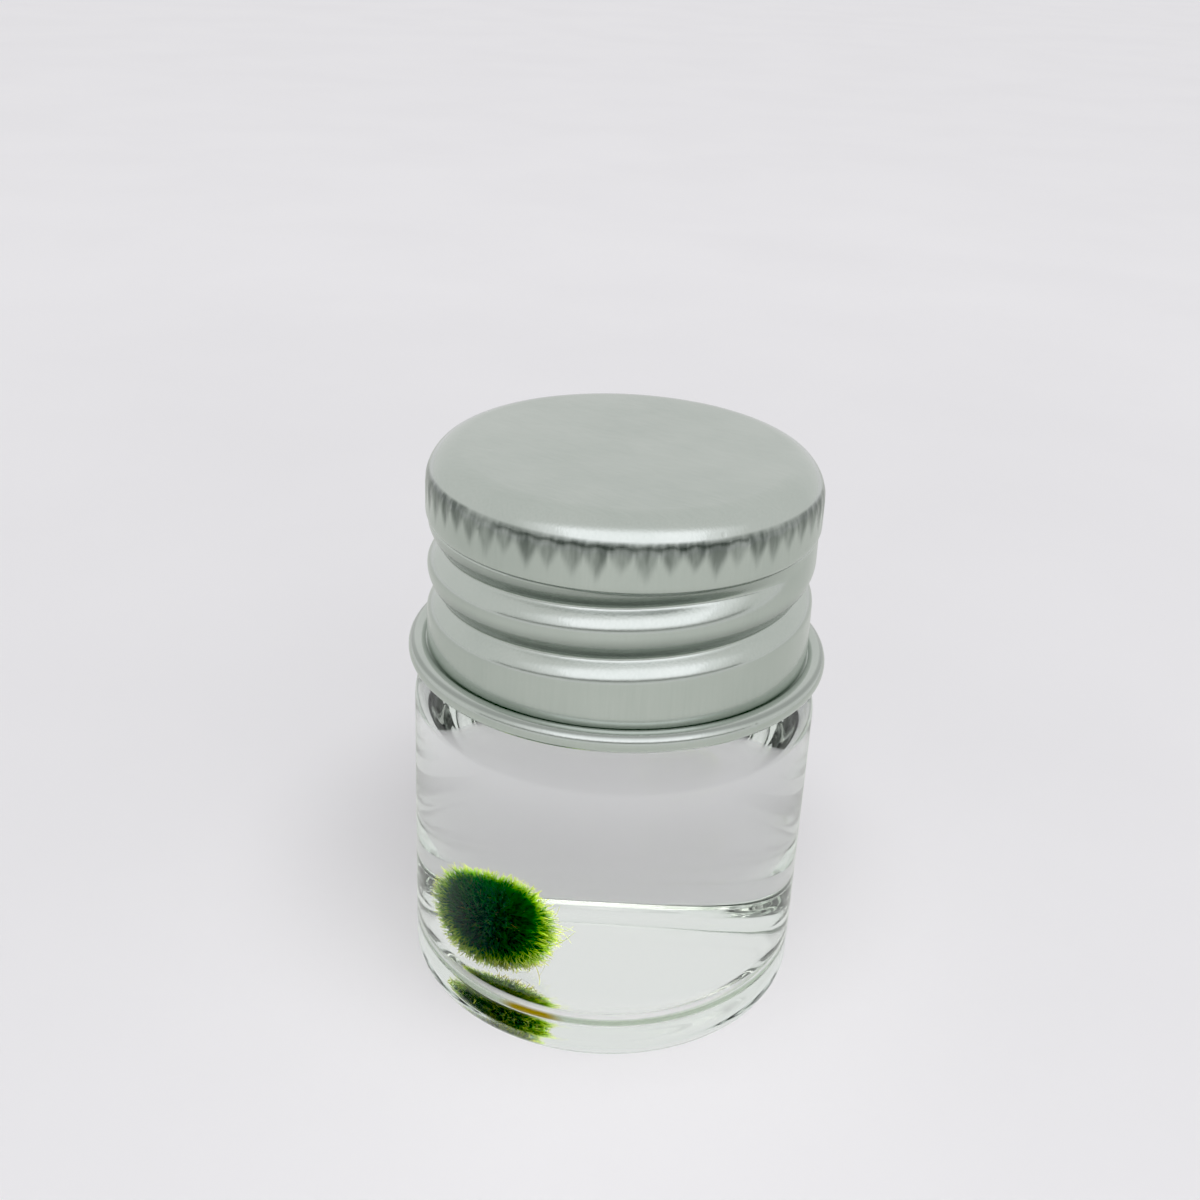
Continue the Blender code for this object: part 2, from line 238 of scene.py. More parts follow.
class Board:
    """A material's node board."""

    def __init__(self, name: str) -> None:
        """Starts an empty board with an output.

        Args:
            name: the material's name.
        """
        self.material = bpy.data.materials.new(name)
        self.material.use_nodes = True
        self.material.node_tree.nodes.clear()
        self.output = self.add("OutputMaterial")

    def feed(self, socket: Socket, value: Any) -> None:
        """Links an output to an input, or gives the input a plain value."""
        if isinstance(value, Socket):
            self.material.node_tree.links.new(value, socket)
        else:
            socket.default_value = value

    def add(self, kind: str, sockets: dict[Any, Any] | None = None, **settings: Any) -> bpy.types.Node:
        """Adds a node.

        Args:
            kind: the node's type, without its ShaderNode.
            sockets: a value or a socket to link for each input, by name or number.
            settings: the node's own options.

        Returns:
            The node.
        """
        node = self.material.node_tree.nodes.new(f"ShaderNode{kind}")
        for key, value in settings.items():
            setattr(node, key, value)
        for key, value in (sockets or {}).items():
            self.feed(node.inputs[key], value)
        return node

    def show(self, surface: Socket, volume: Socket | None = None) -> Material:
        """Links a shader, and a volume if there is one, to the output and gives the finished material."""
        self.feed(self.output.inputs["Surface"], surface)
        if volume is not None:
            self.feed(self.output.inputs["Volume"], volume)
        return self.material

    def principled(self, sockets: dict[str, Any]) -> Socket:
        """Gives a Principled BSDF."""
        return self.add("BsdfPrincipled", sockets).outputs[0]

    def kept(self, name: str) -> Socket:
        """Gives the value of a name that the mesh keeps on each vertex."""
        return self.add("Attribute", attribute_name=name).outputs["Fac"]

    def where(self) -> Socket:
        """Gives Object coordinates in metres."""
        return self.add("TexCoord").outputs["Object"]

    def height(self) -> Socket:
        """Gives the height in metres."""
        return self.add("SeparateXYZ", {"Vector": self.where()}).outputs["Z"]

    def distance(self, spot: Point) -> Socket:
        """Gives the distance in metres from a spot on the ground in millimetres."""
        sockets = {0: self.where(), 1: (spot[0] * MM, spot[1] * MM, 0.0)}
        return self.add("VectorMath", sockets, operation="DISTANCE").outputs["Value"]

    def place(self, scale: tuple[float, float, float], turn: float = 0.0) -> Socket:
        """Gives Object coordinates in periods of a pattern.

        Args:
            scale: repeats a millimetre along each axis.
            turn: how far the pattern is turned about the upright axis, in degrees.

        Returns:
            The socket that holds the coordinates.
        """
        sockets = {"Vector": self.where(), "Rotation": (0.0, 0.0, math.radians(turn))}
        turned = self.add("Mapping", sockets)
        sockets = {"Vector": turned.outputs[0], "Scale": tuple(each / MM for each in scale)}
        return self.add("Mapping", sockets).outputs[0]

    def noise(self, where: Socket, detail: float = 3.0) -> Socket:
        """Gives a noise pattern from 0 to 1 over coordinates in its own periods."""
        sockets = {"Vector": where, "Scale": 1.0, "Detail": detail}
        return self.add("TexNoise", sockets).outputs["Fac"]

    def span(self, value: Socket, low: Point, high: Point) -> Socket:
        """Maps a value from the range low[0] to high[0] onto low[1] to high[1], held at its ends."""
        ends = {"From Min": low[0], "From Max": high[0], "To Min": low[1], "To Max": high[1]}
        return self.add("MapRange", {"Value": value, **ends}).outputs["Result"]

    def count(self, operation: str, first: Any, second: Any = 0.0) -> Socket:
        """Gives the result of a Math node with two inputs."""
        return self.add("Math", {0: first, 1: second}, operation=operation).outputs[0]

    def ramp(self, value: Socket, stops: Stops) -> Socket:
        """Turns a value into a colour.

        Args:
            value: the socket that holds the value, from 0 to 1.
            stops: place and colour of each stop of the ramp.

        Returns:
            The socket that holds the colour.
        """
        node = self.add("ValToRGB", {"Fac": value})
        elements = node.color_ramp.elements
        while len(elements) < len(stops):
            elements.new(0.5)
        for element, (place, colour) in zip(elements, stops):
            element.position = place
            element.color = colour
        return node.outputs["Color"]

    def mixed(self, share: Any, first: Any, second: Any, blend: str = "MIX") -> Socket:
        """Mixes two colours, with share 0 for the first and 1 for the second."""
        node = self.add("Mix", data_type="RGBA", blend_type=blend)
        for number, value in zip((0, 6, 7), (share, first, second)):
            self.feed(node.inputs[number], value)
        return node.outputs[2]

    def bump(self, height: Socket, depth: float, strength: float = 1.0) -> Socket:
        """Gives a normal that is roughened by a height of 0 to 1 over a depth in millimetres."""
        sockets = {"Height": height, "Distance": depth * MM, "Strength": strength}
        return self.add("Bump", sockets).outputs[0]


@dataclass(frozen=True)
class ClearFinish:
    """A see-through finish, bottle glass or water, whose reflections are weakened to a share, mirror."""

    name: str
    ior: float
    mirror: float = 0.0
    waves: float = 0.0
    tint: Colour = (1.0, 1.0, 1.0, 1.0)
    density: float = 0.0

    def make(self) -> Material:
        """Builds the material, with a volume only where it takes up light."""
        board = Board(self.name)
        slow = board.noise(board.place((0.22, 0.22, 0.12)), 1.0)
        sockets = {
            "Base Color": (1.0, 1.0, 1.0, 1.0),
            "Roughness": 0.0,
            "IOR": self.ior,
            "Transmission Weight": 1.0,
            "Specular Tint": (self.mirror, self.mirror, self.mirror, 1.0),
            "Normal": board.bump(slow, self.waves),
        }
        shader = board.principled(sockets)
        if self.density == 0.0:
            return board.show(shader)
        taken = board.add("VolumeAbsorption", {"Color": self.tint, "Density": self.density})
        return board.show(shader, taken.outputs[0])


@dataclass(frozen=True)
class SatinAluminium:
    """Rolled aluminium with a satin face: fine upright lines on its walls and faint streaks on its top."""

    name: str = "satin_aluminium"
    colour: Colour = (0.60, 0.64, 0.60, 1.0)
    dull: Colour = (0.54, 0.585, 0.545, 1.0)
    # Colour of the painted shade in the grooves, the flutes and under overhangs.
    painted_shade_colour: Colour = (0.165, 0.185, 0.17, 1.0)
    smoothest: float = 0.15
    roughest: float = 0.22
    lacquer: Colour = (0.82, 0.82, 0.79, 1.0)
    top_height: float = 31.2
    band_height: float = 28.0

    def make(self) -> Material:
        """Builds the material, darkened by painted shade where the mesh keeps it and pale where it is lined.
        """
        board = Board(self.name)
        height = board.height()
        on_top = board.count("GREATER_THAN", height, self.top_height * MM)
        lines = board.noise(board.place((9.0, 9.0, 0.35)), 2.0)
        streaks = board.noise(board.place((1.2, 7.0, 1.0), 32.0), 3.0)
        grain = board.mixed(on_top, lines, streaks)
        cloud = board.noise(board.place((0.25, 0.25, 0.25)), 2.0)
        rub = board.count("MULTIPLY", grain, 0.35)
        worn = board.count("ADD", rub, board.count("MULTIPLY", cloud, 0.65))
        roughness = board.span(worn, (0.25, self.smoothest), (0.75, self.roughest))
        colour = board.mixed(board.span(worn, (0.3, 0.0), (0.7, 1.0)), self.colour, self.dull)
        # Painted shade darkens the colour where the mesh keeps it, mottled by noise on the fluted band.
        on_band = board.count("GREATER_THAN", height, self.band_height * MM)
        shade_noise = board.span(board.noise(board.place((2.2, 2.2, 0.5)), 2.0), (0.34, 0.62), (0.62, 1.1))
        shade_noise = board.mixed(on_band, (1.0, 1.0, 1.0, 1.0), shade_noise)
        colour = board.mixed(board.count("MULTIPLY", board.kept("tucked"), shade_noise), colour, self.painted_shade_colour)
        lined = board.kept("lined")
        colour = board.mixed(lined, colour, self.lacquer)
        cells = board.add("TexVoronoi", {"Vector": board.place((0.42, 0.42, 0.42)), "Scale": 1.0})
        dents = board.span(cells.outputs["Distance"], (0.02, 0.0), (0.07, 1.0))
        pitted = board.bump(dents, 0.02, 0.5)
        normal = board.add("Bump", {"Height": grain, "Distance": 0.004 * MM, "Normal": pitted})
        sockets = {
            "Base Color": colour,
            "Metallic": board.count("SUBTRACT", 1.0, lined),
            "Roughness": roughness,
            "Anisotropic": 0.5,
            "Anisotropic Rotation": 0.25,
            "Tangent": board.add("Tangent", direction_type="RADIAL", axis="Z").outputs[0],
            "Normal": normal.outputs[0],
        }
        return board.show(board.principled(sockets))


@dataclass(frozen=True)
class MossFinish:
    """Green threads that let a share of the light through, from dark and bluish roots to pale tips."""

    name: str
    through: float
    lit: Stops = (
        (0.0, (0.002, 0.20, 0.12, 1.0)),
        (0.40, (0.03, 0.38, 0.06, 1.0)),
        (0.62, (0.50, 0.80, 0.05, 1.0)),
        (1.0, (0.95, 0.97, 0.34, 1.0)),
    )
    face: Stops = (
        (0.0, (0.002, 0.045, 0.03, 1.0)),
        (0.40, (0.008, 0.11, 0.03, 1.0)),
        (0.66, (0.22, 0.45, 0.02, 1.0)),
        (1.0, (0.70, 0.84, 0.20, 1.0)),
    )
    lit_brown: Colour = (0.50, 0.30, 0.02, 1.0)
    face_brown: Colour = (0.10, 0.055, 0.008, 1.0)

    def make(self) -> Material:
        """Builds the material from the growth, which carries painted shade, and the tone kept on each vertex.
        """
        board = Board(self.name)
        growth = board.kept("growth")
        tone = board.kept("tone")
        low = board.span(board.height(), (1.3 * MM, 0.75), (2.6 * MM, 0.0))
        patch = board.span(board.noise(board.place((0.7, 0.7, 0.7)), 2.0), (0.42, 0.0), (0.62, 1.0))
        rare = board.span(tone, (0.93, 0.0), (1.0, 0.4))
        withered = board.count("MAXIMUM", board.count("MULTIPLY", low, patch), rare)
        lit = board.mixed(withered, board.ramp(growth, self.lit), self.lit_brown)
        face = board.mixed(withered, board.ramp(growth, self.face), self.face_brown)
        lit = board.mixed(1.0, lit, board.span(tone, (0.0, 0.6), (1.0, 1.25)), "MULTIPLY")
        body = board.principled({"Base Color": face, "Roughness": 0.8, "Specular IOR Level": 0.0})
        glow = board.add("BsdfTranslucent", {"Color": lit}).outputs[0]
        return board.show(board.add("MixShader", {0: self.through, 1: body, 2: glow}).outputs[0])


@dataclass(frozen=True)
class FoamFinish:
    """Soft white closed-cell foam of the sealing disc."""

    name: str = "liner_foam"
    colour: Colour = (0.86, 0.87, 0.85, 1.0)
    shade: Colour = (0.79, 0.80, 0.77, 1.0)

    def make(self) -> Material:
        """Builds the material."""
        board = Board(self.name)
        cells = board.add("TexVoronoi", {"Vector": board.place((9.0, 9.0, 9.0)), "Scale": 1.0})
        cell = cells.outputs["Distance"]
        cloud = board.span(board.noise(board.place((0.8, 0.8, 0.8))), (0.3, 0.0), (0.7, 1.0))
        sockets = {
            "Base Color": board.mixed(cloud, self.colour, self.shade),
            "Roughness": board.span(cell, (0.0, 0.55), (0.6, 0.8)),
            "Normal": board.bump(cell, 0.02, 0.6),
        }
        return board.show(board.principled(sockets))


@dataclass(frozen=True)
class PaperFinish:
    """Matt card, faintly clouded."""

    name: str
    colour: Colour = (0.875, 0.865, 0.89, 1.0)
    shade: Colour = (0.86, 0.85, 0.875, 1.0)

    def make(self) -> Material:
        """Builds the material."""
        board = Board(self.name)
        sockets = {"Base Color": self.paint(board), "Roughness": 0.85, "Specular IOR Level": 0.2}
        return board.show(board.principled(sockets))

    def paint(self, board: Board) -> Socket:
        """Gives the card's colour."""
        cloud = board.noise(board.place((0.03, 0.03, 0.03)))
        return board.mixed(board.span(cloud, (0.35, 0.0), (0.65, 1.0)), self.colour, self.shade)


@dataclass(frozen=True)
class FloorFinish(PaperFinish):
    """The card under the jar: a greenish ring of painted shade at its foot, an amber spot, painted shade
    behind it and painted light that makes it paler far off.
    """

    # Colour of the painted shade in the ring under the foot.
    ring_shade: Colour = (0.46, 0.52, 0.44, 1.0)
    amber: Colour = (0.30, 0.21, 0.001, 1.0)
    amber_place: Point = (-3.6, -7.9)
    shade_place: Point = (-2.0, 9.0)
    dimmest: float = 0.72
    # How much paler the card is far off: painted light.
    far: float = 1.13

    def paint(self, board: Board) -> Socket:
        """Gives the card's colour with its tints."""
        away = board.distance((0.0, 0.0))
        # Painted shadow of the jar, behind it.
        dimmed = board.span(board.distance(self.shade_place), (4.0 * MM, self.dimmest), (24.0 * MM, 1.0))
        dimmed.node.interpolation_type = "SMOOTHSTEP"
        paper = board.mixed(1.0, super().paint(board), dimmed, "MULTIPLY")
        # Painted light: the card grows paler far off.
        far = board.span(away, (20.0 * MM, 1.0), (170.0 * MM, self.far))
        paper = board.mixed(1.0, paper, far, "MULTIPLY")
        warm = board.span(board.distance(self.amber_place), (1.1 * MM, 1.0), (2.0 * MM, 0.0))
        # Painted shade in a ring under the jar's foot.
        outer = board.span(away, (9.5 * MM, 1.0), (9.9 * MM, 0.0))
        ring = board.count("MULTIPLY", outer, board.span(away, (7.3 * MM, 0.0), (8.1 * MM, 1.0)))
        return board.mixed(ring, paper, board.mixed(warm, self.ring_shade, self.amber))


@dataclass(frozen=True)
class Thread:
    """The screw thread on a wall, a wave or a narrow crease, climbing round the axis.

    Heights, depth, the reach below and above and the pitch are in millimetres, start, end and run_out in
    degrees. blunt rounds the crease's bottom, as a share of its reach.
    """

    front_height: float
    depth: float
    below: float
    above: float
    start: float
    end: float
    creased: bool = False
    pitch: float = 2.72
    run_out: float = 60.0
    blunt: float = 0.08

    def share(self, angle: Array, height: Array) -> Array:
        """Gives how much of the wave's depth lies at each place.

        Args:
            angle: angles round the axis in radians, from 0 to a full turn.
            height: heights in millimetres.

        Returns:
            Shares from 0 to 1.
        """
        start = math.radians(self.start)
        end = math.radians(self.end)
        most = np.zeros_like(height)
        for turn in range(-2, 4):
            along = angle + turn * math.tau
            offset = height - (self.front_height + self.pitch * (along - FRONT) / math.tau)
            reach = np.where(offset < 0.0, self.below, self.above)
            near = np.clip(np.abs(offset) / reach, 0.0, 1.0)
            eased = np.clip(np.sqrt(near * near + self.blunt * self.blunt), 0.0, 1.0)
            wave = (1.0 - eased) ** 2 if self.creased else np.cos(0.5 * math.pi * near) ** 2
            fade = smooth(np.minimum(along - start, end - along) / math.radians(self.run_out))
            most = np.maximum(most, wave * fade)
        return most


@dataclass
class GlassJar:
    """The jar: a foot ring round a shallow hollow, a straight body, a shoulder and a threaded neck."""

    body_radius: float = 11.0
    wall: float = 1.0
    foot_radius: float = 8.3
    foot_round: float = 1.4
    hollow: float = 0.35
    hollow_radius: float = 6.2
    floor_height: float = 1.2
    heel: float = 2.6
    side_top: float = 17.0
    shoulder_round: float = 2.4
    shoulder_top: Point = (9.05, 19.48)
    inner_side_top: float = 16.8
    inner_round: float = 1.6
    throat: Point = (8.4, 19.2)
    throat_round: float = 0.8
    neck_radius: float = 9.0
    neck_foot: float = 19.75
    bore_radius: float = 7.5
    bore_top: float = 28.6
    rim_foot: float = 29.05
    rim_round: float = 0.55
    ridge: Thread = Thread(25.86, 0.7, 0.55, 0.55, -60.0, 520.0)
    steps: int = 200

    def inside(self, grow: float) -> list[Point]:
        """Lays out the inner wall from the bore down to the middle of the floor.

        Args:
            grow: how far the outline stands outside the wall, in millimetres.

        Returns:
            The points, from the top of the bore to the axis.
        """
        inner = self.body_radius - self.wall + grow
        bore = self.bore_radius + grow
        centre = self.body_radius - self.wall - self.heel
        rise = self.floor_height + self.heel
        turn, foot = self.throat
        points = line((bore, self.bore_top), (bore, foot), 12)
        points += arc((turn, foot + grow), (turn - bore, self.throat_round), 180.0, 270.0, 10)
        side = (turn, self.inner_side_top)
        points += arc(side, (inner - turn, self.inner_round + grow), 90.0, 0.0, 18)[1:]
        points += line((inner, self.inner_side_top), (inner, rise), 24)
        points += arc((centre, rise), (inner - centre, self.heel + grow), 0.0, -90.0, 26)[1:]
        points += line((centre, self.floor_height - grow), (0.0, self.floor_height - grow), 6)
        return points

    def outline(self) -> list[Point]:
        """Lays out the whole jar from the middle of its underside to the middle of its floor."""
        points = [(0.0, self.hollow)]
        points += line((0.0, self.hollow), (self.hollow_radius, self.hollow), 5)
        for share in (0.15, 0.3, 0.45, 0.6, 0.75, 0.9, 1.0):
            across = self.hollow_radius + (self.foot_radius - self.hollow_radius) * share
            points.append((across, self.hollow * (1.0 - float(smooth(np.array(share))))))
        side, foot, neck = self.body_radius, self.foot_round, self.neck_radius
        points += line((self.foot_radius, 0.0), (side - foot, 0.0), 3)
        points += arc((side - foot, foot), (foot, foot), -90.0, 0.0, 24)[1:]
        points += line((side, foot), (side, self.side_top), 30)
        shoulder = (self.shoulder_round, self.shoulder_round)
        points += arc((side - self.shoulder_round, self.side_top), shoulder, 0.0, 76.0, 20)[1:]
        points += [self.shoulder_top, (neck, self.neck_foot)]
        points += line((neck, self.neck_foot), (neck, self.rim_foot), 62)
        rim = (self.rim_round, self.rim_round)
        points += arc((neck - self.rim_round, self.rim_foot), rim, 0.0, 90.0, 8)[1:]
        points += arc((self.bore_radius + self.rim_round, self.rim_foot), rim, 90.0, 180.0, 8)
        return points + self.inside(0.0)

    def build(self, finish: ClearFinish) -> Piece:
        """Turns the jar, raises the thread on its neck and dresses it.

        Args:
            finish: the glass.

        Returns:
            The finished piece.
        """
        piece = Bench.turned("glass_jar", self.outline(), self.steps)
        Bench.reshape(piece, self.raise_thread)
        Bench.finish(piece, finish.make(), crease=60.0)
        Bench.let_light_in(piece)
        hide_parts("jar")
        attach(piece, "jar")
        return piece

    def raise_thread(self, places: Array) -> Array:
        """Moves the neck's outer wall out into its thread."""
        radius, angle = polar(places)
        height = places[:, 2]
        neck = (np.abs(radius - self.neck_radius) < 0.01) & (height > 20.0) & (height < 29.0)
        raised = np.where(neck, self.ridge.depth * self.ridge.share(angle, height), 0.0)
        return widen(places, radius, radius + raised)


@dataclass
class JarWater:
    """The water, which fills the jar into its neck and climbs a little at the glass."""

    jar: GlassJar
    level: float = 24.6
    climb: float = 0.8
    climb_reach: float = 0.8
    overlap: float = 0.05
    steps: int = 160

    def outline(self) -> list[Point]:
        """Lays out the water from the middle of its surface to the middle of the floor."""
        bore = self.jar.bore_radius + self.overlap
        points = [(0.0, self.level)]
        for radius in (1.5, 3.0, 4.2, 5.0, 5.6, 6.1, 6.5, 6.8, 7.05, 7.25, 7.4, 7.5):
            climbed = self.climb * math.exp((radius - self.jar.bore_radius) / self.climb_reach)
            points.append((radius, self.level + climbed))
        points.append((bore, self.level + self.climb))
        points += [point for point in self.jar.inside(self.overlap) if point[1] < self.level]
        return points

    def build(self, finish: ClearFinish) -> Piece:
        """Turns the water and dresses it.

        Args:
            finish: the water's look.

        Returns:
            The finished piece.
        """
        piece = Bench.turned("jar_water", self.outline(), self.steps)
        Bench.finish(piece, finish.make(), crease=60.0)
        Bench.let_light_in(piece)
        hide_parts("water")
        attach(piece, "jar")
        return piece


@dataclass
class AluminiumCap:
    """The rolled cap: flat top, fluted band, screw grooves, skirt and an outward curl with a slit."""

    top: float = 31.4
    radius: float = 10.4
    edge: float = 1.9
    metal: float = 0.3
    flutes: int = 56
    flute_depth: float = 0.10
    flute_top: float = 30.42
    flute_foot: float = 28.2
    band_foot: float = 28.1
    band_round: Point = (0.3, 0.4)
    wall_top: float = 27.66
    knurl_foot: float = 27.6
    groove: Thread = Thread(23.95, 0.84, 1.10, 1.60, 70.0, 700.0, True)
    wall_foot: float = 21.7
    wall_radius: float = 10.27
    skirt_radius: float = 10.34
    inner_radius: float = 9.9
    inner_round: float = 1.6
    inner_foot: float = 20.02
    curl_centre: Point = (10.77, 20.1)
    curl_radius: float = 0.56
    slit: float = 0.07
    slit_foot: float = 20.46
    steps: int = 448

    def outline(self) -> list[Point]:
        """Lays out the cap from the middle of its top, round the curl, to the middle of its inner face."""
        middle = self.radius - self.edge
        points = [(0.0, self.top)]
        points += line((0.0, self.top), (middle, self.top), 4)
        points += arc((middle, self.top - self.edge), (self.edge, self.edge), 90.0, 0.0, 22)[1:]
        points += line((self.radius, self.top - self.edge), (self.radius, self.band_foot), 14)
        points += arc((self.radius - self.band_round[0], self.band_foot), self.band_round, 0.0, -70.0, 5)[1:]
        points += [(self.wall_radius + 0.01, self.wall_top)]
        points += line((self.wall_radius, self.wall_top), (self.skirt_radius, self.wall_foot), 104)
        points += line((self.skirt_radius, self.wall_foot), (self.skirt_radius, self.slit_foot), 4)
        lip = self.skirt_radius + self.slit
        leaning = math.degrees(math.acos((lip - self.curl_centre[0]) / self.curl_radius))
        rise = self.curl_centre[1] + self.curl_radius * math.sin(math.radians(leaning))
        points += [(lip, self.slit_foot), (lip, 0.5 * (self.slit_foot + rise))]
        points += arc(self.curl_centre, (self.curl_radius, self.curl_radius), leaning, -160.0, 24)
        inner = self.skirt_radius - self.metal
        points += [(inner, self.inner_foot)]
        points += line((inner, self.inner_foot), (inner, self.wall_foot), 2)
        points += line((inner, self.wall_foot), (self.wall_radius - self.metal, self.knurl_foot), 24)
        roof = self.top - self.metal
        turn = (self.inner_radius - self.inner_round, roof - self.inner_round)
        points += [(self.inner_radius, 27.8)]
        points += line((self.inner_radius, 27.8), (self.inner_radius, turn[1]), 3)
        points += arc(turn, (self.inner_round, self.inner_round), 0.0, 90.0, 8)[1:]
        points += line((turn[0], roof), (0.0, roof), 3)
        return points

    def build(self, finish: SatinAluminium) -> Piece:
        """Turns the cap, rolls its grooves and flutes in and dresses it.

        Args:
            finish: the metal.

        Returns:
            The finished piece.
        """
        piece = Bench.turned("aluminium_cap", self.outline(), self.steps)
        Bench.reshape(piece, self.roll_in)
        self.note_tucked(piece)
        Bench.finish(piece, finish.make(), crease=50.0)
        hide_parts("cap")
        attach(piece, "cap")
        return piece

    def roll_in(self, places: Array) -> Array:
        """Moves the walls in along the screw grooves, and the band in at its flutes."""
        radius, angle = polar(places)
        height = places[:, 2]
        outer = (radius < self.skirt_radius + 0.005) & (radius > self.inner_radius)
        threaded = outer & (height < self.wall_top + 0.01) & (height > 20.3)
        inward = np.where(threaded, self.groove.depth * self.groove.share(angle, height), 0.0)
        band = (height < self.flute_top) & (height > self.flute_foot) & (radius > 10.15)
        inward = inward + np.where(band, self.flute_depth * self.flute(angle, height), 0.0)
        return widen(places, radius, radius - inward)

    def chances(self, angle: Array) -> tuple[Array, Array, Array]:
        """Gives what makes the flutes uneven.

        Args:
            angle: angles round the axis in radians.

        Returns:
            How far each lies from its flute's middle, in flutes, and two values from 0 to 1 of that flute.
        """
        along = self.flutes * angle / math.tau
        number = np.round(along) % self.flutes
        first, other = (np.modf(np.abs(np.sin(key * number) * 437.585))[0] for key in (12.9898, 78.233))
        return along - np.round(along), first, other

    def flute(self, angle: Array, height: Array) -> Array:
        """Gives the share of the flutes' depth: each narrows downwards, no two quite alike.

        Args:
            angle: angles round the axis in radians.
            height: heights in millimetres.

        Returns:
            Shares from 0 to 1.
        """
        past, chance, other = self.chances(angle)
        foot = self.flute_foot + 0.55 * chance
        down = np.clip((self.flute_top - height) / (self.flute_top - foot), 0.0, 1.0)
        off = 2.0 * np.abs(past - 0.1 * (other - 0.5))
        sides = smooth(1.0 - off / (1.05 - 0.75 * down))
        return sides * smooth(down / 0.65) * (1.0 - down) ** 0.7 * (0.70 + 0.30 * other)

    def shade(self, angle: Array, height: Array) -> Array:
        """Gives the painted shade in the flutes, whole at their top and in points below."""
        past, chance, other = self.chances(angle)
        down = (self.flute_top - height) / (self.flute_top - self.flute_foot + 0.3 - 0.6 * chance)
        off = 2.0 * np.abs(past - 0.12 * (other - 0.5))
        inside = smooth((2.05 - 2.05 * down - off) / 0.85)
        return inside * smooth(down / 0.09) * np.clip(1.0 - 0.55 * down, 0.0, 1.0) * (0.78 + 0.32 * other)

    def note_tucked(self, piece: Piece) -> None:
        """Keeps the painted shade of the outer wall, strongest at the front, and where the inner face is
        lined.
        """
        normals = Bench.read(piece, "normal")
        places = Bench.read(piece)
        radius, angle = polar(places)
        radius = radius / MM
        height = places[:, 2] / MM
        outwards = (normals[:, :2] * places[:, :2]).sum(axis=1) > 0.0
        # Painted shade on faces that turn down and at the skirt's foot, strongest at the front.
        down = np.where(height < 27.9, 0.66 * smooth((-normals[:, 2] - 0.02) / 0.60), 0.0)
        skirt_foot_shade = smooth((21.0 - height) / 0.5) * (np.abs(normals[:, 2]) < 0.9) * (height < 21.1)
        down = np.maximum(down, 0.45 * skirt_foot_shade)
        ahead = 0.5 + 0.5 * np.cos(angle - FRONT)
        down = down * (0.55 + 0.45 * smooth(ahead / 0.85))
        # Painted shade in the flutes, strongest at the front.
        pit_shade = np.where(height > 28.0, self.shade(angle, height), 0.0) * (0.30 + 0.70 * smooth(ahead / 0.9))
        down = np.clip(np.maximum(down, pit_shade), 0.0, 1.0)
        wall = (radius < 10.1) & (height < 31.2) & ~outwards
        roof = (np.abs(height - 31.1) < 0.05) & (radius < 8.5)
        Bench.keep(piece, tucked=np.where(outwards & (height > 20.45), down, 0.0), lined=wall | roof)


@dataclass(frozen=True)
class ThreadForm:
    """A form of moss thread, in lengths of the thread.

    bend is how far the tip leans out, taper the tip's thickness as a share of the root's, fork where a side
    branch starts, with 0 for none, and thickness the root's radius.
    """

    bend: float
    taper: float
    fork: float
    thickness: float


PLAIN = (
    ThreadForm(0.06, 0.45, 0.0, 0.046),
    ThreadForm(0.22, 0.40, 0.0, 0.042),
    ThreadForm(0.42, 0.45, 0.0, 0.040),
)
BRANCHED = (
    ThreadForm(0.16, 0.50, 0.55, 0.034),
    ThreadForm(0.30, 0.50, 0.35, 0.034),
    ThreadForm(0.45, 0.45, 0.0, 0.032),
)
HAIRS = (
    ThreadForm(0.75, 0.55, 0.0, 0.015),
    ThreadForm(1.35, 0.60, 0.0, 0.014),
)


@dataclass
class ThreadModel:
    """One thread of unit length, modelled once and then copied many times."""

    form: ThreadForm
    steps: int = 4

    def shoot(self, start: Vector, lean: float, bend: float, length: float, radius: float) -> Piece:
        """Models one tapering shoot by drawing a three-sided face out step by step.

        Args:
            start: where it starts, in unit lengths.
            lean: how far it leans along X from the start, as a share of its length.
            bend: how far it bends further out along X by its tip.
            length: its length in unit lengths.
            radius: its radius at the start.

        Returns:
            The shoot as an object.
        """
        Bench.clear()
        bpy.ops.mesh.primitive_circle_add(vertices=3, radius=radius, fill_type="NGON", location=start)
        shoot = bpy.context.object
        bpy.ops.object.transform_apply(location=True, rotation=True, scale=True)
        centre = Vector(start)
        shrink = self.form.taper ** (1.0 / self.steps)
        with Bench.editing("FACE"):
            for step in range(self.steps):
                share = (step + 0.5) / self.steps
                slope = lean + 2.0 * bend * share
                rise = length / self.steps / math.sqrt(1.0 + slope * slope)
                waver = 0.06 * length * math.sin(5.0 * share + 3.0 * bend) / self.steps
                move = Vector((rise * slope, waver, rise))
                bpy.ops.mesh.extrude_region_move(TRANSFORM_OT_translate={"value": move})
                centre += move
                bpy.ops.transform.resize(value=(shrink, shrink, shrink), center_override=centre)
        return shoot

    def build(self) -> tuple[Array, Array]:
        """Models the thread and reads it back.

        Returns:
            Its vertices and the vertex numbers of its triangles.
        """
        main = self.shoot(Vector((0.0, 0.0, 0.0)), 0.0, self.form.bend, 1.0, self.form.thickness)
        if self.form.fork > 0.0:
            along = self.form.fork
            start = Vector((self.form.bend * along * along * 0.9, 0.0, along * 0.93))
            side = self.shoot(start, -0.75, 0.1, 0.45, self.form.thickness * 0.75)
            Bench.choose(side)
            main.select_set(True)
            bpy.context.view_layer.objects.active = main
            bpy.ops.object.join()
        Bench.choose(main)
        with Bench.editing("FACE"):
            bpy.ops.mesh.normals_make_consistent(inside=False)
            bpy.ops.mesh.quads_convert_to_tris()
        mesh = main.data
        places = np.array([vertex.co[:] for vertex in mesh.vertices])
        faces = np.array([face.vertices[:] for face in mesh.polygons])
        bpy.data.objects.remove(main)
        bpy.data.meshes.remove(mesh)
        return places, faces


